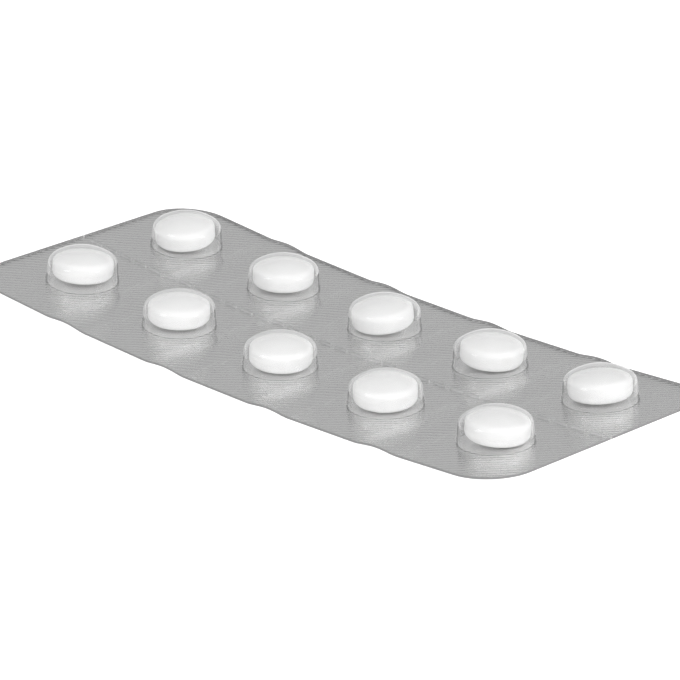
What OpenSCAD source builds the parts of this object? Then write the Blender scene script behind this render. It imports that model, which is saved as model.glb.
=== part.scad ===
// Tablet blister pack: a clear thermoformed film with two rows of five domed
// pockets, a sealed metal lidding foil below it, and one tablet in each pocket.
// The sheet is flat under every column of pockets, and between the columns it
// rises into a soft ridge and turns a little, so that both ends curl upwards.
// X runs along the rows, Y across them, and Z is up. The origin is the middle of
// the sheet's outline, at the foil's lowest face, which is the middle column's.

/* [Layout] */
// Distance between neighbouring columns of pockets
pitch = 18; // [15:0.5:24]
// Distance between the front and the back row of pockets
row_pitch = 17.8; // [14:0.1:24]
// From the centre of an outermost pocket to the end of the sheet
end_margin = 9.8; // [8:0.1:16]
// From the centre line of a row of pockets to the long edge, both rows on average
side_margin = 10.2; // [8.5:0.1:16]
// How far both rows lie off the middle of the sheet, towards the back edge
row_shift = 0.6; // [-1:0.1:1]
// Corner radius of the sheet
corner_r = 6.2; // [1:0.1:8]

/* [Sheet] */
// Thickness of the clear film
film_t = 0.25; // [0.15:0.01:0.5]
// Thickness of the lidding foil with its sealing layer
foil_t = 0.03; // [0.02:0.005:0.1]
// Height of the soft ridge between two columns
ridge_h = 0.3; // [0:0.05:0.6]
// Flat ring of sheet around the foot of a pocket
flat_rim = 0.5; // [0.2:0.1:1]
// Turn of the sheet from one column to the next, left of the middle, in degrees
bend_left = 2; // [0:0.1:4]
// Turn of the sheet from one column to the next, right of the middle, in degrees
bend_right = 1.8; // [0:0.1:4]
// Further turn of the sheet over its left margin, in degrees
curl_left = 3; // [0:0.5:6]
// Further turn of the sheet over its right margin, in degrees
curl_right = 0; // [0:0.5:6]

/* [Tear line] */
// Length of one cut of the dashed tear line between the rows
cut_l = 2.1; // [1:0.1:4]
// Uncut bridge between two cuts
cut_gap = 0.7; // [0.3:0.1:2]
// Width of a cut
cut_w = 0.15; // [0.1:0.01:0.3]

/* [Pockets] */
// Thickness of the drawn film in a pocket's wall and crown
pocket_wall = 0.18; // [0.1:0.01:0.25]
// Play between a tablet's edge and the foot of the pocket's wall
side_play = 0.52; // [0.4:0.01:1]
// Play between a tablet lying flat and the crown above it
head_play = 0.7; // [0.5:0.05:1.5]
// Draft of a pocket's wall, in degrees
draft = 4; // [1:0.5:7]
// Outer radius of the shoulder between a pocket's wall and its crown
shoulder_r = 1.2; // [0.9:0.1:1.7]
// Height of the crown's sphere, from its top down to above the foot of the wall
crown_h = 1.66; // [1.4:0.02:2]
// Radius of the flare where a pocket's wall rises from the sheet
flare_r = 0.4; // [0.2:0.05:0.6]

/* [Tablets] */
// Diameter of a tablet
tablet_d = 7.7; // [6.5:0.1:8.5]
// Height of the straight band round a tablet
band_h = 2.2; // [1.4:0.1:2.6]
// Height of the crown on each face of a tablet
cup_h = 0.6; // [0.5:0.05:1]
// Rounding of the edges between band and crowns
edge_r = 0.8; // [0.4:0.05:0.9]
// Gap between a tablet and the foil that it lies on
seat_gap = 0.02; // [0.01:0.01:0.1]
// Least gap between the rounded edges of a leaning tablet and the pocket's inside
rim_gap = 0.05; // [0.03:0.01:0.2]

/* [Hidden] */
$fn = 96;
columns = 5;
rows = 2;
middle = (columns - 1) / 2;
row_names = ["front", "back"];
function tablet_name(row, col) = str("tablet_", row_names[row], "_", col + 1);

// How each tablet has settled in its pocket: the direction of its low side in
// degrees, its lean as a share of the most lean that the pocket allows, and its
// slide towards the low side as a share of the most slide
front_tablets = [
    [130, 0.8, 0.65],
    [150, 0.2, 0.8],
    [355, 0.5, 0.5],
    [320, 0.9, 0],
    [35, 1, 0.85]
];
back_tablets = [
    [240, 1, 0.9],
    [150, 0.4, 0.7],
    [240, 1, 0.9],
    [30, 0.9, 0.8],
    [155, 0.8, 0]
];
settled = [front_tablets, back_tablets];

sheet_l = (columns - 1) * pitch + 2 * end_margin;
sheet_w = row_pitch + 2 * side_margin;

// A tablet: its faces are caps of two spheres, cap_r is their radius
tablet_r = tablet_d / 2;
tablet_t = band_h + 2 * cup_h;
cap_r = (tablet_r * tablet_r + cup_h * cup_h) / (2 * cup_h);
cap_z = tablet_t / 2 - cap_r;
round_x = tablet_r - edge_r;
round_z = cap_z + sqrt(pow(cap_r - edge_r, 2) - round_x * round_x);
round_top_x = round_x * cap_r / (cap_r - edge_r);

// Two fifths of the lean at which a tablet's low edge would meet the foil
lean_limit = 0.4 * asin(tablet_r / cap_r);
lean_step = 0.1;
slide_step = 0.01;

// A pocket's outer surface, with z = 0 at the sheet's upper face. The shoulder's
// centre is where its arc touches the drafted wall and the crown's arc from inside.
slope = tan(draft);
foot_r = tablet_r + side_play + pocket_wall;
pocket_h = tablet_t + head_play - film_t + pocket_wall;
crown_r = (foot_r * foot_r + crown_h * crown_h) / (2 * crown_h);
crown_z = pocket_h - crown_r;
reach = crown_r - shoulder_r;
wall_k = foot_r - shoulder_r / cos(draft);
half_b = wall_k * slope + crown_z;
span_c = wall_k * wall_k + crown_z * crown_z - reach * reach;
steep = 1 + slope * slope;
shoulder_z = (half_b + sqrt(half_b * half_b - steep * span_c)) / steep;
shoulder_x = wall_k - shoulder_z * slope;

// The flare's arc dips a little below the upper face, so that the two faces
// cross at a clear angle
flare_dip = flare_r / 20;
flare_z = flare_r - flare_dip;
flare_top = flare_z - flare_r * sin(draft);
flare_x = foot_r - flare_top * slope + flare_r * cos(draft);

flat_half = flare_x + flat_rim;
ridge_l = pitch - 2 * flat_half;
ridge_steps = 10;
margin_steps = 6;
above = pocket_h + sheet_l;
cut_pitch = cut_l + cut_gap;
cuts = floor(sheet_l / cut_pitch);

function column_x(col) = (col - middle) * pitch;
function row_y(row) = row_shift + (row - 0.5) * row_pitch;

// Tilt of the flat under a column, in degrees
function tilt(col) = (col - middle) * (col < middle ? bend_left : bend_right);

// Height of the foil's underside at a column's centre, added up from the middle
function rise(a, b) = pitch * (tan(abs(tilt(a))) + tan(abs(tilt(b)))) / 2;
function column_z(col) =
    col == middle ? 0 :
    col > middle ? column_z(col - 1) + rise(col - 1, col) :
    column_z(col + 1) + rise(col + 1, col);

// Point of the foil's underside on a column's flat, at a distance dx from its centre
function flat_point(col, dx) = [column_x(col) + dx, column_z(col) + dx * tan(tilt(col))];

// The ridge between a column and the next, for s from 0 to 1: a cubic that meets
// both flats at their own slopes, with a smooth hump on it
function ridge_point(col, s) =
    let (
        a = flat_point(col, flat_half),
        b = flat_point(col + 1, -flat_half),
        joined = (2 * s * s * s - 3 * s * s + 1) * a[1]
            + (s * s * s - 2 * s * s + s) * ridge_l * tan(tilt(col))
            + (3 * s * s - 2 * s * s * s) * b[1]
            + (s * s * s - s * s) * ridge_l * tan(tilt(col + 1)),
        hump = ridge_h * 16 * s * s * (1 - s) * (1 - s)
    )
    [a[0] + s * ridge_l, joined + hump];

// The margin outside an end column, for s from 0 to 1: a parabola that leaves the
// flat at its slope and turns by the end's curl
function margin_point(col, side, curl, s) =
    let (
        run = sheet_l / 2 - column_x(columns - 1) - flat_half,
        a = flat_point(col, side * flat_half),
        m = tan(abs(tilt(col))),
        turned = tan(abs(tilt(col)) + curl) - m
    )
    [a[0] + side * s * run, a[1] + run * (m * s + turned * s * s / 2)];

// The foil's underside from the left end to the right
sheet_line = concat(
    [for (k = [margin_steps:-1:0]) margin_point(0, -1, curl_left, k / margin_steps)],
    [for (col = [0:columns - 2]) for (k = [0:ridge_steps]) ridge_point(col, k / ridge_steps)],
    [for (k = [0:margin_steps]) margin_point(columns - 1, 1, curl_right, k / margin_steps)]
);

function raised(line, dz) = [for (p = line) [p[0], p[1] + dz]];
function backwards(line) = [for (k = [len(line) - 1:-1:0]) line[k]];

module sheet_outline() {
    union() {
        square([sheet_l - 2 * corner_r, sheet_w], center = true);
        square([sheet_l, sheet_w - 2 * corner_r], center = true);
        for (x = [-1, 1])
            for (y = [-1, 1])
                translate([x * (sheet_l / 2 - corner_r), y * (sheet_w / 2 - corner_r)])
                    circle(r = corner_r);
    }
}

// One layer of the sheet, from one height above the foil's underside to another
module layer(low, high) {
    intersection() {
        rotate([90, 0, 0])
            linear_extrude(height = sheet_w + 2 * corner_r, center = true)
                polygon(concat(raised(sheet_line, low), backwards(raised(sheet_line, high))));
        translate([0, 0, -above / 2])
            linear_extrude(height = above)
                sheet_outline();
    }
}

module tear_cuts() {
    for (k = [0:cuts - 1])
        translate([(k - (cuts - 1) / 2) * cut_pitch, row_shift, 0])
            cube([cut_l, cut_w, above], center = true);
}

// Places its children on a column's flat, at a height above the foil's underside
module on_flat(row, col, height) {
    translate([column_x(col), row_y(row), column_z(col) + height])
        rotate([0, -tilt(col), 0])
            children();
}

// Half section of a pocket's solid, its surface moved inwards by inset, down to floor_z
module dome_section(inset, floor_z) {
    union() {
        intersection() {
            translate([0, crown_z])
                circle(r = crown_r - inset);
            translate([0, floor_z])
                square([shoulder_x * (crown_r - inset) / reach, pocket_h - floor_z]);
        }
        translate([shoulder_x, shoulder_z])
            circle(r = shoulder_r - inset);
        polygon([
            [0, floor_z],
            [foot_r - floor_z * slope - inset / cos(draft), floor_z],
            [
                shoulder_x + (shoulder_r - inset) * cos(draft),
                shoulder_z + (shoulder_r - inset) * sin(draft)
            ],
            [shoulder_x, shoulder_z],
            [0, shoulder_z]
        ]);
    }
}

// The pocket's outer form, rooted in the film's thickness, with its flare
module pocket_outside() {
    rotate_extrude()
        union() {
            dome_section(0, -film_t / 2);
            difference() {
                translate([0, -film_t / 2])
                    square([flare_x, flare_top + film_t / 2]);
                translate([flare_x, flare_z])
                    circle(r = flare_r);
            }
        }
}

// The room inside a pocket, open towards the foil
module pocket_inside() {
    rotate_extrude()
        dome_section(pocket_wall, -2 * film_t);
}

module each_pocket(height) {
    for (row = [0:rows - 1])
        for (col = [0:columns - 1])
            on_flat(row, col, height)
                children();
}

module blister_film() {
    color([0.86, 0.88, 0.9, 0.45])
        difference() {
            union() {
                layer(foil_t, foil_t + film_t);
                each_pocket(foil_t + film_t)
                    pocket_outside();
            }
            each_pocket(foil_t + film_t)
                pocket_inside();
            tear_cuts();
        }
}

module lidding_foil() {
    color([0.68, 0.69, 0.7])
        difference() {
            layer(0, foil_t);
            tear_cuts();
        }
}

// A tablet about its own centre, as a turned half section
module tablet() {
    rotate_extrude()
        union() {
            intersection() {
                translate([0, cap_z])
                    circle(r = cap_r);
                translate([0, -cap_z])
                    circle(r = cap_r);
                translate([0, -tablet_t / 2])
                    square([round_top_x, tablet_t]);
            }
            for (side = [-1, 1])
                translate([round_x, side * round_z])
                    circle(r = edge_r);
            translate([0, -round_z])
                square([tablet_r, 2 * round_z]);
        }
}

// Height of a leaning tablet's centre over the foil, as it rolls on its lower cap
function centre_h(lean) = cap_r + cap_z * cos(lean) + seat_gap;

// Gap between a tablet's rounded edge and the pocket's inner surface, when the
// round's centre is x from the pocket's axis and z above the sheet: to the crown's
// sphere, to the shoulder's arc, or to the drafted wall
function edge_gap(x, z) =
    x * (shoulder_z - crown_z) < shoulder_x * (z - crown_z) ?
        crown_r - pocket_wall - edge_r - norm([x, z - crown_z]) :
    z > shoulder_z ?
        shoulder_r - pocket_wall - edge_r - norm([x - shoulder_x, z - shoulder_z]) :
        (foot_r - x - z * slope) * cos(draft) - pocket_wall - edge_r;

// The least of these gaps in the plane of the lean: at the low and the high side
// (across), and at the upper and the lower edge (up)
function least_gap(lean, slide) = min([
    for (across = [1, -1])
        for (up = [1, -1])
            edge_gap(
                abs(slide + across * round_x * cos(lean) + up * round_z * sin(lean)),
                centre_h(lean) - across * round_x * sin(lean) + up * round_z * cos(lean) - film_t
            )
]);

// The most that a tablet lying flat can slide in its pocket, found in small steps
function most_slide(slide = 0) =
    slide >= side_play || least_gap(0, slide + slide_step) < rim_gap ?
        slide :
        most_slide(slide + slide_step);

// The most that a tablet can lean when it has slid this far, found in small steps
function most_lean(slide, lean = 0) =
    lean >= lean_limit || least_gap(lean + lean_step, slide) < rim_gap ?
        lean :
        most_lean(slide, lean + lean_step);

// A tablet as it lies in its pocket
module settled_tablet(row, col) {
    low_side = settled[row][col][0];
    slide = settled[row][col][2] * most_slide();
    lean = settled[row][col][1] * most_lean(slide);
    color([0.96, 0.96, 0.95])
        on_flat(row, col, foil_t)
            translate([slide * cos(low_side), slide * sin(low_side), centre_h(lean)])
                rotate(a = lean, v = [-sin(low_side), cos(low_side), 0])
                    tablet();
}

blister_film();
lidding_foil();
for (row = [0:rows - 1])
    for (col = [0:columns - 1])
        settled_tablet(row, col);
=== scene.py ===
"""A tablet blister pack: clear domed film, embossed lidding foil and ten tablets.

Sizes are in millimetres and degrees, as a maker would state them, and a mesh is
scaled to metres when it is made. Azimuth 0 looks along +Y.
"""

import math

import bpy
import numpy as np
from mathutils import Matrix, Vector


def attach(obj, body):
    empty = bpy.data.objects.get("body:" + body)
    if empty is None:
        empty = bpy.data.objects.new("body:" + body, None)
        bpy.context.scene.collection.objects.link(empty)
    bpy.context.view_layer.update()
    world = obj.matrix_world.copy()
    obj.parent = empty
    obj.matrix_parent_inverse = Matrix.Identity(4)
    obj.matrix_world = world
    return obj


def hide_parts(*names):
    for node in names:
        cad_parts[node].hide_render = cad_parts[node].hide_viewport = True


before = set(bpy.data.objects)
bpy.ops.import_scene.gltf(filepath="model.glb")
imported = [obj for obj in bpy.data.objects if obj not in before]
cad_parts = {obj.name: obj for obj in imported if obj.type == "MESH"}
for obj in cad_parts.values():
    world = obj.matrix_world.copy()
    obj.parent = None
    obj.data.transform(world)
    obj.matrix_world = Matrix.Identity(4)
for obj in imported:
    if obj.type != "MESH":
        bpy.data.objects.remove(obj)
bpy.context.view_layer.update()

MM = 0.001

# Layout of the pockets and the sheet
COLUMNS = 5
PITCH = 18.0
ROW_PITCH = 17.8
END_MARGIN = 9.8
SIDE_MARGIN = 10.2
ROW_SHIFT = 0.6
CORNER_R = 6.2

# The sheet's layers, its ridges and the turns between its columns
FILM_T = 0.25
FOIL_T = 0.03
RIDGE_H = 0.3
FLAT_RIM = 0.5
BEND_LEFT = 2.0
BEND_RIGHT = 1.8
CURL_LEFT = 3.0
CURL_RIGHT = 0.0

# The dashed tear line
CUT_L = 2.1
CUT_GAP = 0.7
CUT_W = 0.15

# The pockets
POCKET_WALL = 0.18
SIDE_PLAY = 0.52
HEAD_PLAY = 0.7
DRAFT = 4.0
SHOULDER_R = 1.2
CROWN_H = 1.66
FLARE_R = 0.4

# The tablets
TABLET_D = 7.7
BAND_H = 2.2
CUP_H = 0.6
EDGE_R = 0.8
SEAT_GAP = 0.02
RIM_GAP = 0.05

# How each tablet has settled: the direction of its low side, its lean and its slide
# as shares of the most that the pocket allows
SETTLED = {
    "front": [
        (130, 0.8, 0.65),
        (150, 0.2, 0.8),
        (355, 0.5, 0.5),
        (320, 0.9, 0.0),
        (35, 1.0, 0.85),
    ],
    "back": [
        (240, 1.0, 0.9),
        (150, 0.4, 0.7),
        (240, 1.0, 0.9),
        (30, 0.9, 0.8),
        (155, 0.8, 0.0),
    ],
}
ROWS = list(SETTLED)

# Fineness of the meshes: the spacing of points along a cell's edge, and the rings
EDGE_STEP = 0.5
SHEET_RINGS = 8
CROWN_RINGS = 8
SHOULDER_RINGS = 9
FLARE_RINGS = 5
CORNER_STEPS = 12
WALL_RINGS = 3
INNER_WALL_RINGS = 4
FLOOR_RINGS = 5
TABLET_CAP_RINGS = 14
TABLET_EDGE_RINGS = 8
TABLET_TURNS = 120
WELD = 0.0005

# Steps in which the most slide and lean are sought, and the lean's limit as a share
# of the half angle of a tablet's cap
SLIDE_STEP = 0.01
LEAN_STEP = 0.1
LEAN_LIMIT = 0.4

# Sizes that follow
MIDDLE = (COLUMNS - 1) / 2
SHEET_L = (COLUMNS - 1) * PITCH + 2 * END_MARGIN
SHEET_W = ROW_PITCH + 2 * SIDE_MARGIN
TABLET_R = TABLET_D / 2
TABLET_T = BAND_H + 2 * CUP_H
CAP_R = (TABLET_R**2 + CUP_H**2) / (2 * CUP_H)
CAP_Z = TABLET_T / 2 - CAP_R
ROUND_X = TABLET_R - EDGE_R
ROUND_Z = CAP_Z + math.sqrt((CAP_R - EDGE_R) ** 2 - ROUND_X**2)
FOOT_R = TABLET_R + SIDE_PLAY + POCKET_WALL
POCKET_H = TABLET_T + HEAD_PLAY - FILM_T + POCKET_WALL
CROWN_R = (FOOT_R**2 + CROWN_H**2) / (2 * CROWN_H)
CROWN_Z = POCKET_H - CROWN_R
SLOPE = math.tan(math.radians(DRAFT))
COS_DRAFT = math.cos(math.radians(DRAFT))
SIN_DRAFT = math.sin(math.radians(DRAFT))
REACH = CROWN_R - SHOULDER_R
WALL_K = FOOT_R - SHOULDER_R / COS_DRAFT
HALF_B = WALL_K * SLOPE + CROWN_Z
SPAN_C = WALL_K**2 + CROWN_Z**2 - REACH**2
SHOULDER_Z = (HALF_B + math.sqrt(HALF_B**2 - (1 + SLOPE**2) * SPAN_C)) / (1 + SLOPE**2)
SHOULDER_X = WALL_K - SHOULDER_Z * SLOPE
FLARE_TOP = FLARE_R * (1 - SIN_DRAFT)
FLARE_X = FOOT_R - FLARE_TOP * SLOPE + FLARE_R * COS_DRAFT
FLAT_HALF = FLARE_X + FLAT_RIM
RIDGE_L = PITCH - 2 * FLAT_HALF
FOIL_GAP = 0.002


def column_x(col):
    return (col - MIDDLE) * PITCH


def row_y(row):
    return ROW_SHIFT + (row - 0.5) * ROW_PITCH


def tilt(col):
    """Tilt of the flat under a column, in radians."""
    bend = BEND_LEFT if col < MIDDLE else BEND_RIGHT
    return math.radians((col - MIDDLE) * bend)


def column_z(col):
    """Height of the foil's underside at a column's centre, added up from the middle."""
    if col == MIDDLE:
        return 0.0
    inner = col - 1 if col > MIDDLE else col + 1
    slopes = math.tan(abs(tilt(col))) + math.tan(abs(tilt(inner)))
    return column_z(inner) + PITCH * slopes / 2


def sheet_z(x):
    """Height of the foil's underside at each x.

    It is straight under a column. Between two columns it is the cubic that meets
    both flats at their own slopes, plus a hump of 16 s^2 (1-s)^2 ridge heights.
    Over an end margin it is a parabola that turns by the end's curl.
    """
    nearest = np.clip(np.rint(x / PITCH + MIDDLE), 0, COLUMNS - 1).astype(int)
    centre = np.array([column_x(c) for c in range(COLUMNS)])[nearest]
    height = np.array([column_z(c) for c in range(COLUMNS)])[nearest]
    slope = np.array([math.tan(tilt(c)) for c in range(COLUMNS)])[nearest]
    z = height + (x - centre) * slope
    for col in range(COLUMNS - 1):
        s = (x - column_x(col) - FLAT_HALF) / RIDGE_L
        left = column_z(col) + FLAT_HALF * math.tan(tilt(col))
        right = column_z(col + 1) - FLAT_HALF * math.tan(tilt(col + 1))
        cubic = (
            (2 * s**3 - 3 * s**2 + 1) * left
            + (s**3 - 2 * s**2 + s) * RIDGE_L * math.tan(tilt(col))
            + (3 * s**2 - 2 * s**3) * right
            + (s**3 - s**2) * RIDGE_L * math.tan(tilt(col + 1))
        )
        hump = RIDGE_H * 16 * s**2 * (1 - s) ** 2
        z = np.where((s > 0) & (s < 1), cubic + hump, z)
    run = END_MARGIN - FLAT_HALF
    for col, side, curl in ((0, -1, CURL_LEFT), (COLUMNS - 1, 1, CURL_RIGHT)):
        s = (side * (x - column_x(col)) - FLAT_HALF) / run
        m = math.tan(abs(tilt(col)))
        turned = math.tan(abs(tilt(col)) + math.radians(curl)) - m
        start = column_z(col) + FLAT_HALF * m
        z = np.where(s > 0, start + run * (m * s + turned * s**2 / 2), z)
    return z


def arc(centre, radius, start, end, steps):
    """Points of an arc, its angles in radians from straight up towards +r."""
    a = np.linspace(start, end, steps + 1)
    return np.stack([centre[0] + radius * np.sin(a), centre[1] + radius * np.cos(a)], 1)


def dome_profile(inset):
    """The pocket's crown, shoulder and wall, moved inwards by inset, as points (r, z)
    from the axis down to the wall's foot: two arcs that touch, then a line."""
    meet = math.asin(SHOULDER_X / REACH)
    quarter = math.radians(90 - DRAFT)
    crown = arc((0, CROWN_Z), CROWN_R - inset, 0, meet, CROWN_RINGS)
    shoulder = arc((SHOULDER_X, SHOULDER_Z), SHOULDER_R - inset, meet, quarter, SHOULDER_RINGS)
    return np.concatenate([crown, shoulder[1:]])


def outer_profile():
    """The pocket's outer surface from its top to the flat sheet, where z is 0."""
    start, end = math.radians(270 - DRAFT), math.radians(180)
    flare = arc((FLARE_X, FLARE_R), FLARE_R, start, end, FLARE_RINGS)
    wall = np.linspace(dome_profile(0)[-1], flare[0], WALL_RINGS + 1)
    return np.concatenate([dome_profile(0), wall[1:-1], flare])


def inner_profile():
    """The pocket's inner surface from its top to the film's underside."""
    foot = [[FOOT_R + FILM_T * SLOPE - POCKET_WALL / COS_DRAFT, -FILM_T]]
    wall = np.linspace(dome_profile(POCKET_WALL)[-1], foot[0], INNER_WALL_RINGS + 1)
    return np.concatenate([dome_profile(POCKET_WALL), wall[1:]])


def floor_profile():
    """The flat foil under a pocket, from its middle to the foot of the wall."""
    r = np.linspace(0, FLARE_X, FLOOR_RINGS + 1)
    return np.stack([r, np.zeros_like(r)], 1)


def stretch(a, b):
    """Evenly spaced values from a up to b, an edge step apart or a little closer."""
    return np.linspace(a, b, max(1, math.ceil((b - a) / EDGE_STEP)) + 1)


def cut_ends():
    """The x of every end of the tear line's cuts, in order."""
    cut_pitch = CUT_L + CUT_GAP
    cuts = math.floor(SHEET_L / cut_pitch)
    centres = (np.arange(cuts) - (cuts - 1) / 2) * cut_pitch
    return np.sort(np.concatenate([centres - CUT_L / 2, centres + CUT_L / 2]))


def tear_points():
    """The x of the points along the tear line: the cuts' ends, the cells' corners and
    even steps between them."""
    corners = [column_x(c) - PITCH / 2 for c in range(1, COLUMNS)]
    marks = np.unique(np.concatenate([cut_ends(), corners, [-SHEET_L / 2, SHEET_L / 2]]))
    runs = [stretch(a, b)[:-1] for a, b in zip(marks[:-1], marks[1:])]
    return np.concatenate(runs + [marks[-1:]])


def cell_edge(row, col, tear_x):
    """The closed edge of one pocket's cell, anticlockwise, as points (x, y).

    With d the distance from the tear line, it runs along the long edge, down one
    side, back along the tear line and up the other side. A cell at the end of the
    sheet has the sheet's round corner, a quarter circle.
    """
    first, last = col == 0, col == COLUMNS - 1
    side = -1 if row == 0 else 1
    depth = SHEET_W / 2 - side * ROW_SHIFT - CUT_W / 2
    x0 = -SHEET_L / 2 if first else column_x(col) - PITCH / 2
    x1 = SHEET_L / 2 if last else column_x(col) + PITCH / 2
    r0, r1 = (CORNER_R if end else 0 for end in (first, last))
    turn = np.linspace(0, math.pi / 2, CORNER_STEPS + 1)[:-1]
    long_x = stretch(x0 + r0, x1 - r1)[:-1]
    down = stretch(0, depth - r1)[:0:-1]
    up = stretch(0, depth - r0)[:-1]
    inside = tear_x[(tear_x > x0 + WELD) & (tear_x < x1 - WELD)]
    tear = np.concatenate([[x1], inside[::-1]])
    runs = [(long_x, np.full_like(long_x, depth))]
    if last:
        runs.append((x1 - r1 + r1 * np.sin(turn), depth - r1 + r1 * np.cos(turn)))
    runs += [(np.full_like(down, x1), down), (tear, np.zeros_like(tear))]
    runs.append((np.full_like(up, x0), up))
    if first:
        runs.append((x0 + r0 - r0 * np.cos(turn), depth - r0 + r0 * np.sin(turn)))
    edge = np.concatenate([np.stack(run, 1) for run in runs])
    edge[:, 1] = ROW_SHIFT + side * (CUT_W / 2 + edge[:, 1])
    return edge if side < 0 else edge[::-1]


def tilted(col, row, local, height):
    """Local points about a pocket's axis, turned by the column's tilt and moved to
    the pocket's place, at a height above the foil's underside."""
    a = tilt(col)
    x, y, z = local.T
    turned = np.stack([x * math.cos(a) - z * math.sin(a), y, x * math.sin(a) + z * math.cos(a)], 1)
    return turned + (column_x(col), row_y(row), column_z(col) + height)


def cell(row, col, profile, height, tear_x):
    """One cell of a face of the sheet, as points and faces.

    Rays run from the pocket's axis to every point of the cell's edge. Along a ray
    the points first follow the turned profile (r, z), and then go on in equal
    steps from its last circle to the cell's edge, at the sheet's own height.
    """
    edge = cell_edge(row, col, tear_x)
    rays = len(edge)
    heading = np.arctan2(edge[:, 1] - row_y(row), edge[:, 0] - column_x(col))
    r = profile[1:, 0][:, None]
    z = np.broadcast_to(profile[1:, 1][:, None], (len(profile) - 1, rays))
    local = np.stack([r * np.cos(heading), r * np.sin(heading), z], 2).reshape(-1, 3)
    turned = tilted(col, row, local, height)
    circle = turned[-rays:, :2]
    t = np.linspace(0, 1, SHEET_RINGS + 1)[1:, None, None]
    flat = (circle * (1 - t) + edge * t).reshape(-1, 2)
    sheet = np.column_stack([flat, sheet_z(flat[:, 0]) + height + profile[-1, 1]])
    top = tilted(col, row, np.array([[0, 0, profile[0, 1]]]), height)
    points = np.concatenate([top, turned, sheet])
    rings = (len(points) - 1) // rays
    k = np.arange(rays)
    after = (k + 1) % rays
    start = 1 + rays * np.arange(rings - 1)[:, None]
    quads = np.stack([start + k, start + rays + k, start + rays + after, start + after], 2)
    fan = np.stack([np.zeros(rays, int), 1 + k, 1 + after, 1 + after], 1)
    return points, np.concatenate([fan, quads.reshape(-1, 4)])


def face_of_sheet(profile, height):
    """A whole face of the sheet: its ten cells and the uncut bridges of the tear
    line, with the points that neighbours share made one."""
    tear_x = tear_points()
    parts = [
        cell(row, col, profile, height, tear_x)
        for row in range(len(ROWS))
        for col in range(COLUMNS)
    ]
    level = height + profile[-1, 1]
    mids = (tear_x[:-1] + tear_x[1:]) / 2
    bridge = np.searchsorted(cut_ends(), mids) % 2 == 0
    lines = [
        np.column_stack([tear_x, np.full_like(tear_x, y), sheet_z(tear_x) + level])
        for y in (ROW_SHIFT - CUT_W / 2, ROW_SHIFT + CUT_W / 2)
    ]
    k = np.flatnonzero(bridge)
    n = len(tear_x)
    parts.append((np.concatenate(lines), np.stack([k, k + 1, n + k + 1, n + k], 1)))
    return joined(parts)


def joined(parts):
    """Parts of (points, faces) put together, with points closer than the weld made one."""
    offsets = np.cumsum([0] + [len(points) for points, _ in parts[:-1]])
    points = np.concatenate([points for points, _ in parts])
    faces = np.concatenate([faces + offset for (_, faces), offset in zip(parts, offsets)])
    keys = np.rint(points / WELD).astype(np.int64)
    _, kept, same = np.unique(keys, axis=0, return_index=True, return_inverse=True)
    return points[kept], same.reshape(-1)[faces]


def same_place(wanted, points):
    """For each wanted point, which of the points lies at the same (x, y)."""
    keys = np.rint(np.concatenate([points, wanted])[:, :2] / WELD).astype(np.int64)
    _, key = np.unique(keys, axis=0, return_inverse=True)
    key = key.reshape(-1)
    index = np.zeros(key.max() + 1, int)
    index[key[: len(points)]] = np.arange(len(points))
    return index[key[len(points) :]]


def shell(top_profile, top_height, under_profile, under_height):
    """A closed layer: an upper face, a lower face turned over, and walls along
    every open edge, which is one that only a single face uses. Both faces have the
    same points along those edges."""
    upper, upper_faces = face_of_sheet(top_profile, top_height)
    lower, lower_faces = face_of_sheet(under_profile, under_height)
    sides = np.stack([upper_faces, np.roll(upper_faces, -1, 1)], 2).reshape(-1, 2)
    sides = sides[sides[:, 0] != sides[:, 1]]
    code = sides[:, 0] * len(upper) + sides[:, 1]
    back = sides[:, 1] * len(upper) + sides[:, 0]
    rim = sides[~np.isin(code, back)]
    below = same_place(upper[rim.reshape(-1)], lower).reshape(-1, 2) + len(upper)
    walls = np.stack([rim[:, 1], rim[:, 0], below[:, 0], below[:, 1]], 1)
    points = np.concatenate([upper, lower])
    faces = np.concatenate([upper_faces, lower_faces[:, [0, 3, 2, 1]] + len(upper), walls])
    return points, faces, len(walls)


def tablet_profile():
    """Half section of a tablet from the middle of its top to the middle of its
    bottom: cap arc, rounded edge, straight band, and the same mirrored."""
    meet = math.asin(ROUND_X / (CAP_R - EDGE_R))
    cap = arc((0, CAP_Z), CAP_R, 0, meet, TABLET_CAP_RINGS)
    edge = arc((ROUND_X, ROUND_Z), EDGE_R, meet, math.pi / 2, TABLET_EDGE_RINGS)
    band = np.array([[TABLET_R, 0.0]])
    half = np.concatenate([cap, edge[1:]])
    return np.concatenate([half, band, half[::-1] * (1, -1)])


def turned_solid(profile, turns):
    """A profile (r, z) carried round the axis, closed by a fan at each pole."""
    angle = np.linspace(0, 2 * math.pi, turns, endpoint=False)
    r = profile[1:-1, 0][:, None]
    z = np.broadcast_to(profile[1:-1, 1][:, None], (len(profile) - 2, turns))
    rings = np.stack([r * np.cos(angle), r * np.sin(angle), z], 2).reshape(-1, 3)
    poles = np.array([[0, 0, profile[0, 1]], [0, 0, profile[-1, 1]]])
    points = np.concatenate([rings, poles])
    k = np.arange(turns)
    after = (k + 1) % turns
    start = turns * np.arange(len(profile) - 3)[:, None]
    quads = np.stack([start + k, start + turns + k, start + turns + after, start + after], 2)
    last = turns * (len(profile) - 3)
    top = np.full(turns, len(rings))
    fans = [
        np.stack([top, k, after, after], 1),
        np.stack([top + 1, last + after, last + k, last + k], 1),
    ]
    return points, np.concatenate([quads.reshape(-1, 4)] + fans)


def centre_h(lean):
    """Height of a leaning tablet's centre over the foil, as it rolls on its cap."""
    return CAP_R + CAP_Z * math.cos(lean) + SEAT_GAP


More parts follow.
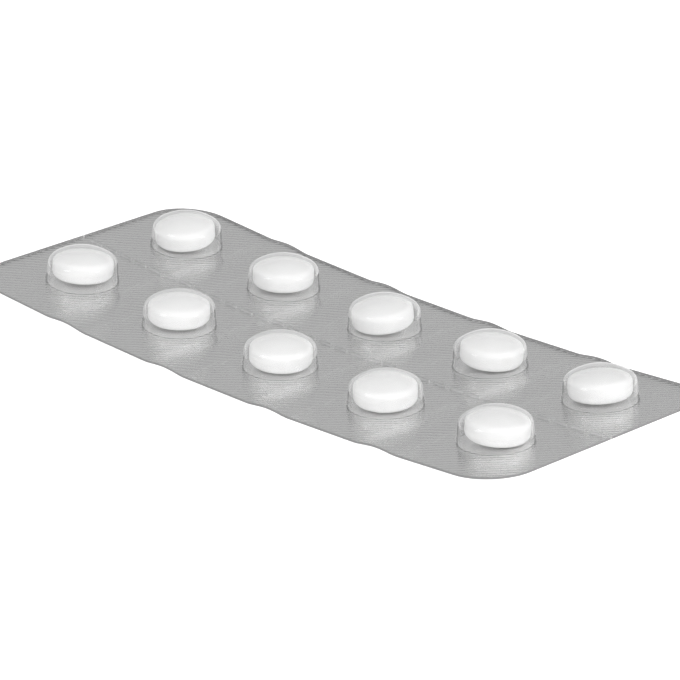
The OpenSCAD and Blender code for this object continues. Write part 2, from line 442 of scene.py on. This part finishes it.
def edge_gap(x, z):
    """Gap between a tablet's rounded edge, its centre at x from the pocket's axis
    and z above the sheet, and the pocket's crown, shoulder or wall."""
    if x * (SHOULDER_Z - CROWN_Z) < SHOULDER_X * (z - CROWN_Z):
        return CROWN_R - POCKET_WALL - EDGE_R - math.hypot(x, z - CROWN_Z)
    if z > SHOULDER_Z:
        return SHOULDER_R - POCKET_WALL - EDGE_R - math.hypot(x - SHOULDER_X, z - SHOULDER_Z)
    return (FOOT_R - x - z * SLOPE) * COS_DRAFT - POCKET_WALL - EDGE_R


def least_gap(lean, slide):
    """The least gap at the low and the high side, at the upper and the lower edge."""
    gaps = []
    for across in (1, -1):
        for up in (1, -1):
            x = slide + across * ROUND_X * math.cos(lean) + up * ROUND_Z * math.sin(lean)
            z = centre_h(lean) - across * ROUND_X * math.sin(lean) + up * ROUND_Z * math.cos(lean)
            gaps.append(edge_gap(abs(x), z - FILM_T))
    return min(gaps)


def most(step, limit, gap_at):
    """The most of a slide or a lean that keeps the rim gap, found in small steps."""
    steps = 0
    while steps * step < limit and gap_at((steps + 1) * step) >= RIM_GAP:
        steps += 1
    return steps * step


def settled(row, col, points):
    """A tablet's points about its own centre, placed as it lies in its pocket."""
    low_side, lean_share, slide_share = SETTLED[ROWS[row]][col]
    low_side = math.radians(low_side)
    slide = slide_share * most(SLIDE_STEP, SIDE_PLAY, lambda far: least_gap(0.0, far))
    limit = LEAN_LIMIT * math.asin(TABLET_R / CAP_R)
    step = math.radians(LEAN_STEP)
    lean = lean_share * most(step, limit, lambda turn: least_gap(turn, slide))
    turn = Matrix.Rotation(lean, 3, Vector((-math.sin(low_side), math.cos(low_side), 0)))
    place = (slide * math.cos(low_side), slide * math.sin(low_side), centre_h(lean))
    return tilted(col, row, points @ np.array(turn).T + place, FOIL_T)


def mesh_piece(name, points, faces, materials, sharp=40, walls=None):
    """A mesh object from points in millimetres and faces of four corners, of which
    a triangle repeats one. The walls, its last faces, take the second material."""
    mesh = bpy.data.meshes.new(name)
    keep = faces != np.roll(faces, 1, 1)
    counts = keep.sum(1)
    corners = faces[keep]
    mesh.vertices.add(len(points))
    mesh.vertices.foreach_set("co", (points * MM).astype(np.float32).ravel())
    mesh.loops.add(len(corners))
    mesh.loops.foreach_set("vertex_index", corners.astype(np.int32))
    mesh.polygons.add(len(faces))
    starts = np.concatenate([[0], np.cumsum(counts)[:-1]])
    mesh.polygons.foreach_set("loop_start", starts.astype(np.int32))
    mesh.update(calc_edges=True)
    mesh.validate()
    mesh.shade_smooth()
    mesh.set_sharp_from_angle(angle=math.radians(sharp))
    for material in materials:
        mesh.materials.append(material)
    if walls:
        slots = np.repeat([0, 1], [len(faces) - walls, walls])
        mesh.polygons.foreach_set("material_index", slots.astype(np.int32))
    piece = bpy.data.objects.new(name, mesh)
    bpy.context.scene.collection.objects.link(piece)
    return piece


class Wiring:
    """A node tree and short ways to add a node and to link it."""

    def __init__(self, tree):
        self.tree = tree

    def add(self, kind, values=(), **settings):
        node = self.tree.nodes.new(kind)
        for name, value in settings.items():
            setattr(node, name, value)
        for name, value in dict(values).items():
            self.feed(node.inputs[name], value)
        return node

    def feed(self, socket, value):
        if isinstance(value, bpy.types.NodeSocket):
            self.tree.links.new(value, socket)
        else:
            socket.default_value = value

    def math(self, operation, *values):
        node = self.add("ShaderNodeMath", operation=operation)
        for socket, value in zip(node.inputs, values):
            self.feed(socket, value)
        return node.outputs[0]


def new_material(name):
    material = bpy.data.materials.new(name)
    material.use_nodes = True
    material.node_tree.nodes.clear()
    return material, Wiring(material.node_tree)


def grey(level):
    return (level, level, level, 1)


def tablet_coat():
    """White film-coated tablet: satin, with a faint pressed grain and mottling."""
    material, w = new_material("tablet_coat")
    place = w.add("ShaderNodeTexCoord").outputs["Object"]
    mottle = w.add("ShaderNodeTexNoise", {"Vector": place, "Scale": 700, "Detail": 3})
    colour = w.add("ShaderNodeMix", data_type="RGBA")
    w.feed(colour.inputs["Factor"], mottle.outputs["Fac"])
    w.feed(colour.inputs[6], (0.9, 0.9, 0.895, 1))
    w.feed(colour.inputs[7], (0.94, 0.94, 0.935, 1))
    grain = w.add("ShaderNodeTexNoise", {"Vector": place, "Scale": 5000, "Detail": 4})
    bump = w.add("ShaderNodeBump", {"Strength": 0.12, "Distance": 0.00002})
    w.feed(bump.inputs["Height"], grain.outputs["Fac"])
    coat = w.add("ShaderNodeBsdfPrincipled", {"Roughness": 0.55, "IOR": 1.45})
    w.feed(coat.inputs["Subsurface Weight"], 0.5)
    w.feed(coat.inputs["Subsurface Radius"], (1.0, 1.0, 1.0))
    w.feed(coat.inputs["Subsurface Scale"], 0.0006)
    w.feed(coat.inputs["Base Color"], colour.outputs[2])
    w.feed(coat.inputs["Normal"], bump.outputs[0])
    out = w.add("ShaderNodeOutputMaterial")
    w.feed(out.inputs["Surface"], coat.outputs[0])
    return material


def pocket_distance(w, place):
    """Distance from the nearest pocket's axis, in metres, from an Object position."""
    split = w.add("ShaderNodeSeparateXYZ", {"Vector": place})
    half = PITCH * MM / 2
    along = w.math("ADD", split.outputs[0], half)
    along = w.math("SUBTRACT", w.math("FLOORED_MODULO", along, PITCH * MM), half)
    across = w.math("ABSOLUTE", w.math("SUBTRACT", split.outputs[1], ROW_SHIFT * MM))
    across = w.math("SUBTRACT", across, ROW_PITCH * MM / 2)
    along = w.math("MULTIPLY", along, along)
    across = w.math("MULTIPLY", across, across)
    return w.math("SQRT", w.math("ADD", along, across))


# Height and pitch of the sealing ribs
RIB_H = 0.03
RIB_PITCH = 0.75


def rib_group():
    """Node group: the height of the fine ribs that the sealing tool pressed in, at 45
    degrees to the sheet's edges. There are none inside the pockets."""
    tree = bpy.data.node_groups.new("sealing_ribs", "ShaderNodeTree")
    tree.interface.new_socket("Position", in_out="INPUT", socket_type="NodeSocketVector")
    tree.interface.new_socket("Height", in_out="OUTPUT", socket_type="NodeSocketFloat")
    tree.interface.new_socket("Sealed", in_out="OUTPUT", socket_type="NodeSocketFloat")
    w = Wiring(tree)
    given = w.add("NodeGroupInput")
    split = w.add("ShaderNodeSeparateXYZ", {"Vector": given.outputs["Position"]})
    across = w.math("SUBTRACT", split.outputs[0], split.outputs[1])
    turns = w.math("DIVIDE", across, math.sqrt(2) * RIB_PITCH * MM)
    wave = w.math("COSINE", w.math("MULTIPLY", turns, 2 * math.pi))
    height = w.math("MULTIPLY_ADD", wave, 0.5, 0.5)
    reach = w.add("ShaderNodeMapRange", interpolation_type="SMOOTHSTEP")
    w.feed(reach.inputs["Value"], pocket_distance(w, given.outputs["Position"]))
    w.feed(reach.inputs["From Min"], TABLET_R * MM)
    w.feed(reach.inputs["From Max"], FOOT_R * MM)
    result = w.add("NodeGroupOutput")
    w.feed(result.inputs["Sealed"], reach.outputs[0])
    w.feed(result.inputs["Height"], w.math("MULTIPLY", height, reach.outputs[0]))
    return tree


def lidding_metal(ribs):
    """Satin aluminium foil with the sealing ribs, painted shade in their grooves and faint
    rolling marks. Inside the pockets its sealing lacquer is bare, which is a little duller."""
    material, w = new_material("lidding_metal")
    place = w.add("ShaderNodeTexCoord").outputs["Object"]
    seal = w.add("ShaderNodeGroup", node_tree=ribs)
    w.feed(seal.inputs["Position"], place)
    stretched = w.add("ShaderNodeMapping", {"Vector": place, "Scale": (60, 2500, 60)})
    along = stretched.outputs[0]
    rolled = w.add("ShaderNodeTexNoise", {"Vector": along, "Scale": 1.0, "Detail": 3})
    clouds = w.add("ShaderNodeTexNoise", {"Vector": place, "Scale": 260, "Detail": 4})
    colour = w.add("ShaderNodeMix", data_type="RGBA")
    w.feed(colour.inputs["Factor"], clouds.outputs["Fac"])
    w.feed(colour.inputs[6], grey(0.9))
    w.feed(colour.inputs[7], grey(0.97))
    # Painted shade: the colour is darkened by up to a fifth in the ribs' grooves, in patches.
    groove = w.math("SUBTRACT", seal.outputs["Sealed"], seal.outputs["Height"])
    shade = w.math("MULTIPLY_ADD", w.math("MULTIPLY", groove, clouds.outputs["Fac"]), -0.2, 1.0)
    groove_shaded_colour = w.add("ShaderNodeVectorMath", {0: colour.outputs[2]}, operation="SCALE")
    w.feed(groove_shaded_colour.inputs["Scale"], shade)
    low = w.add("ShaderNodeBump", {"Strength": 1.0, "Distance": RIB_H * MM})
    w.feed(low.inputs["Height"], seal.outputs["Height"])
    fine = w.add("ShaderNodeBump", {"Strength": 0.15, "Distance": 0.000005})
    w.feed(fine.inputs["Height"], rolled.outputs["Fac"])
    w.feed(fine.inputs["Normal"], low.outputs[0])
    rough = w.math("MULTIPLY_ADD", seal.outputs["Sealed"], -0.02, 0.21)
    rough = w.math("MULTIPLY_ADD", clouds.outputs["Fac"], 0.08, rough)
    metal = w.add("ShaderNodeBsdfPrincipled")
    w.feed(metal.inputs["Metallic"], w.math("MULTIPLY_ADD", seal.outputs["Sealed"], 0.15, 0.85))
    w.feed(metal.inputs["Base Color"], groove_shaded_colour.outputs[0])
    w.feed(metal.inputs["Roughness"], rough)
    w.feed(metal.inputs["Normal"], fine.outputs[0])
    out = w.add("ShaderNodeOutputMaterial")
    w.feed(out.inputs["Surface"], metal.outputs[0])
    return material


def clear_film(ribs):
    """Clear thin plastic: see-through, with a gloss on its outer faces that grows at
    a flat angle as 0.04 + 0.96 (1 - cos)^5. The drawn pockets get a painted rim light,
    a diffuse white where they turn edge on, and painted shade, a dark tint at the foot of their
    walls."""
    material, w = new_material("clear_film")
    place = w.add("ShaderNodeTexCoord").outputs["Object"]
    facing = w.add("ShaderNodeLayerWeight", {"Blend": 0.5}).outputs["Facing"]
    from_axis = pocket_distance(w, place)
    in_pocket = w.math("LESS_THAN", from_axis, FOOT_R * MM)
    at_foot = w.math("COMPARE", from_axis, FOOT_R * MM, 0.1 * MM)
    seal = w.add("ShaderNodeGroup", {"Position": place}, node_tree=ribs)
    bump = w.add("ShaderNodeBump", {"Strength": 0.3, "Distance": RIB_H * MM})
    w.feed(bump.inputs["Height"], seal.outputs["Height"])
    # Painted shade: the see-through colour turns dark grey in a band at the foot of the pocket
    # walls, more so where they turn edge on.
    see_through_and_foot_shade = w.add("ShaderNodeMix", data_type="RGBA")
    w.feed(see_through_and_foot_shade.inputs["Factor"], w.math("MULTIPLY", at_foot, w.math("POWER", facing, 3.0)))
    w.feed(see_through_and_foot_shade.inputs[6], grey(0.99))
    w.feed(see_through_and_foot_shade.inputs[7], grey(0.4))
    through = w.add("ShaderNodeBsdfTransparent")
    w.feed(through.inputs[0], see_through_and_foot_shade.outputs[2])
    gloss = w.add("ShaderNodeBsdfGlossy", {"Color": grey(1.0), "Roughness": 0.08})
    w.feed(gloss.inputs["Normal"], bump.outputs[0])
    shine = w.math("MULTIPLY_ADD", w.math("POWER", facing, 5.0), 0.96, 0.04)
    behind = w.add("ShaderNodeNewGeometry").outputs["Backfacing"]
    film = w.add("ShaderNodeMixShader")
    w.feed(film.inputs[0], w.math("MULTIPLY", shine, w.math("SUBTRACT", 1.0, behind)))
    w.feed(film.inputs[1], through.outputs[0])
    w.feed(film.inputs[2], gloss.outputs[0])
    # Painted rim light: inside the pockets, away from the foot, a diffuse white is mixed in where
    # the walls turn edge on.
    rim = w.add("ShaderNodeMapRange", {"From Min": 0.5, "To Max": 0.6})
    w.feed(rim.inputs["Value"], facing)
    rim_light_share = w.math("MULTIPLY", rim.outputs[0], w.math("SUBTRACT", in_pocket, at_foot))
    painted_rim_light = w.add("ShaderNodeBsdfDiffuse", {"Color": grey(0.9)})
    edged = w.add("ShaderNodeMixShader")
    w.feed(edged.inputs[0], w.math("MAXIMUM", rim_light_share, 0.0))
    w.feed(edged.inputs[1], film.outputs[0])
    w.feed(edged.inputs[2], painted_rim_light.outputs[0])
    out = w.add("ShaderNodeOutputMaterial")
    w.feed(out.inputs["Surface"], edged.outputs[0])
    return material


def cut_edge():
    """The edges where film and foil were cut: rough, dark round the sheet, and painted lighter in
    the tear's narrow cuts, where shade falls.
    """
    material, w = new_material("cut_edge")
    place = w.add("ShaderNodeTexCoord").outputs["Object"]
    torn = w.add("ShaderNodeTexNoise", {"Vector": place, "Scale": 3000, "Detail": 2})
    across = w.add("ShaderNodeSeparateXYZ", {"Vector": place}).outputs[1]
    from_tear = w.math("ABSOLUTE", w.math("SUBTRACT", across, ROW_SHIFT * MM))
    in_tear = w.math("LESS_THAN", from_tear, CUT_W * MM)
    level = w.math("MULTIPLY_ADD", torn.outputs["Fac"], 0.1, 0.22)
    # Painted light: the cut walls in the tear are made lighter to lift the shade in the narrow
    # slots.
    level = w.math("MULTIPLY_ADD", in_tear, 0.27, level)
    colour = w.add("ShaderNodeCombineColor", {"Red": level, "Green": level, "Blue": level})
    body = w.add("ShaderNodeBsdfPrincipled", {"Roughness": 0.6})
    w.feed(body.inputs["Base Color"], colour.outputs[0])
    out = w.add("ShaderNodeOutputMaterial")
    w.feed(out.inputs["Surface"], body.outputs[0])
    return material


def seen_directly(w):
    """1 for rays from the camera, from gloss and through glass, 0 for others."""
    path = w.add("ShaderNodeLightPath")
    either = w.math("MAXIMUM", path.outputs["Is Camera Ray"], path.outputs["Is Glossy Ray"])
    return w.math("MAXIMUM", either, path.outputs["Is Transmission Ray"])


def white_table():
    """Floor: matt white that is lifted to plain white where it is seen, and keeps
    the pack's shadow."""
    material, w = new_material("white_table")
    paint = w.add("ShaderNodeBsdfDiffuse", {"Color": grey(0.8)})
    lift = w.add("ShaderNodeEmission", {"Color": grey(1.0)})
    w.feed(lift.inputs["Strength"], w.math("MULTIPLY", seen_directly(w), 0.55))
    both = w.add("ShaderNodeAddShader")
    w.feed(both.inputs[0], paint.outputs[0])
    w.feed(both.inputs[1], lift.outputs[0])
    out = w.add("ShaderNodeOutputMaterial")
    w.feed(out.inputs["Surface"], both.outputs[0])
    return material


def tent_cloth():
    """The grey tent round the table, which the foil mirrors: light at the bottom,
    darker overhead, and lighter in front of the pack."""
    material, w = new_material("tent_cloth")
    place = w.add("ShaderNodeTexCoord").outputs["Object"]
    front = w.add("ShaderNodeVectorMath", {0: place}, operation="DOT_PRODUCT")
    w.feed(front.inputs[1], direction(VIEW_AZ + TENT_TURN, 0) / (TENT_R * MM))
    share = w.add("ShaderNodeMapRange", {"From Min": -0.3}, interpolation_type="SMOOTHSTEP")
    w.feed(share.inputs["Value"], front.outputs["Value"])
    up = w.add("ShaderNodeMapRange", {"From Max": TENT_GRADE * TENT_R * MM})
    w.feed(up.inputs["Value"], w.add("ShaderNodeSeparateXYZ", {"Vector": place}).outputs[2])
    w.feed(up.inputs["To Min"], TENT_LOW)
    w.feed(up.inputs["To Max"], TENT_HIGH)
    level = w.math("MULTIPLY_ADD", share.outputs[0], TENT_LIFT, up.outputs[0])
    glow = w.add("ShaderNodeEmission", {"Color": grey(1.0), "Strength": level})
    out = w.add("ShaderNodeOutputMaterial")
    w.feed(out.inputs["Surface"], glow.outputs[0])
    return material


# The studio: a table, a grey tent that only the pack sees, and two soft boxes. The
# tent's glow changes from low at the table to high at the grade's share of its
# radius, and the lift is what its front adds. Outer scales its inside to its outside
TENT_LOW = 0.52
TENT_HIGH = 0.46
TENT_LIFT = 1.02
TENT_TURN = 20.0
TENT_R = 1400.0
TENT_GRADE = 0.7
TENT_REACH = 94.0
TENT_RINGS = 24
TENT_TURNS = 64
TENT_OUTER = (1.01, 1.00899)
TABLE_HALF = 6000.0
TABLE_Z = -0.02
BOX_SIZE = 0.24
BOX_AWAY = 0.62
BOX_HIGH = 36.0
BOX_ASIDE = 60.0
BOX_POWER = 0.45

# The camera, as fitted to the photograph: its image is 680 pixels wide
VIEW_AZ = 45.55
VIEW_EL = 21.888
VIEW_AWAY = 545.27
VIEW_AT = (1.874, -0.03, 1.649)
FOCAL_PX = 4487.98
IMAGE_PX = 680
SENSOR = 36.0


def direction(azimuth, elevation):
    """Unit vector from the pack towards a viewer at this azimuth and elevation."""
    a, e = math.radians(azimuth), math.radians(elevation)
    return Vector((math.sin(a) * math.cos(e), -math.cos(a) * math.cos(e), math.sin(e)))


def add_camera():
    camera = bpy.data.objects.new("camera", bpy.data.cameras.new("camera"))
    camera.data.sensor_width = SENSOR
    camera.data.lens = FOCAL_PX / IMAGE_PX * SENSOR
    towards = direction(VIEW_AZ, VIEW_EL)
    camera.location = (Vector(VIEW_AT) + towards * VIEW_AWAY) * MM
    camera.rotation_euler = towards.to_track_quat("Z", "Y").to_euler()
    bpy.context.scene.collection.objects.link(camera)
    bpy.context.scene.camera = camera


def add_soft_box(name, azimuth, power):
    light = bpy.data.lights.new(name, "AREA")
    light.shape = "SQUARE"
    light.size = BOX_SIZE
    light.energy = power
    box = bpy.data.objects.new(name, light)
    towards = direction(azimuth, BOX_HIGH)
    box.location = towards * BOX_AWAY
    box.rotation_euler = towards.to_track_quat("Z", "Y").to_euler()
    bpy.context.scene.collection.objects.link(box)


def add_studio():
    h = TABLE_HALF
    corners = np.array([[-h, -h, TABLE_Z], [h, -h, TABLE_Z], [h, h, TABLE_Z], [-h, h, TABLE_Z]])
    mesh_piece("table", corners, np.array([[0, 1, 2, 3]]), [white_table()])
    inside = arc((0, 0), TENT_R, 0, math.radians(TENT_REACH), TENT_RINGS)
    outside = inside[::-1] * TENT_OUTER
    points, faces = turned_solid(np.concatenate([inside, outside]), TENT_TURNS)
    tent = mesh_piece("tent", points, faces, [tent_cloth()])
    tent.visible_camera = False
    tent.visible_shadow = False
    for side, name in ((-1, "soft_box_left"), (1, "soft_box_right")):
        add_soft_box(name, VIEW_AZ + side * BOX_ASIDE, BOX_POWER)
    world = bpy.data.worlds.new("studio")
    world.use_nodes = True
    world.node_tree.nodes["Background"].inputs[0].default_value = grey(1.0)
    bpy.context.scene.world = world
    bpy.context.scene.view_settings.view_transform = "Standard"


def add_pack():
    ribs = rib_group()
    edge = cut_edge()
    above_foil = FOIL_T + FILM_T
    points, faces, walls = shell(outer_profile(), above_foil, inner_profile(), above_foil)
    film = mesh_piece("clear_domed_film", points, faces, [clear_film(ribs), edge], walls=walls)
    points, faces, walls = shell(floor_profile(), FOIL_T - FOIL_GAP, floor_profile(), 0.0)
    foil = mesh_piece("embossed_foil", points, faces, [lidding_metal(ribs), edge], walls=walls)
    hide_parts("blister_film")
    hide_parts("lidding_foil")
    pieces = [film, foil]
    coat = tablet_coat()
    points, faces = turned_solid(tablet_profile(), TABLET_TURNS)
    for row, row_name in enumerate(ROWS):
        for col in range(COLUMNS):
            name = f"{row_name}_{col + 1}"
            tablet = mesh_piece("coated_tablet_" + name, settled(row, col, points), faces, [coat])
            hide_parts("tablet_" + name)
            pieces.append(tablet)
    for piece in pieces:
        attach(piece, "root")


add_camera()
add_studio()
add_pack()

bpy.context.view_layer.update()
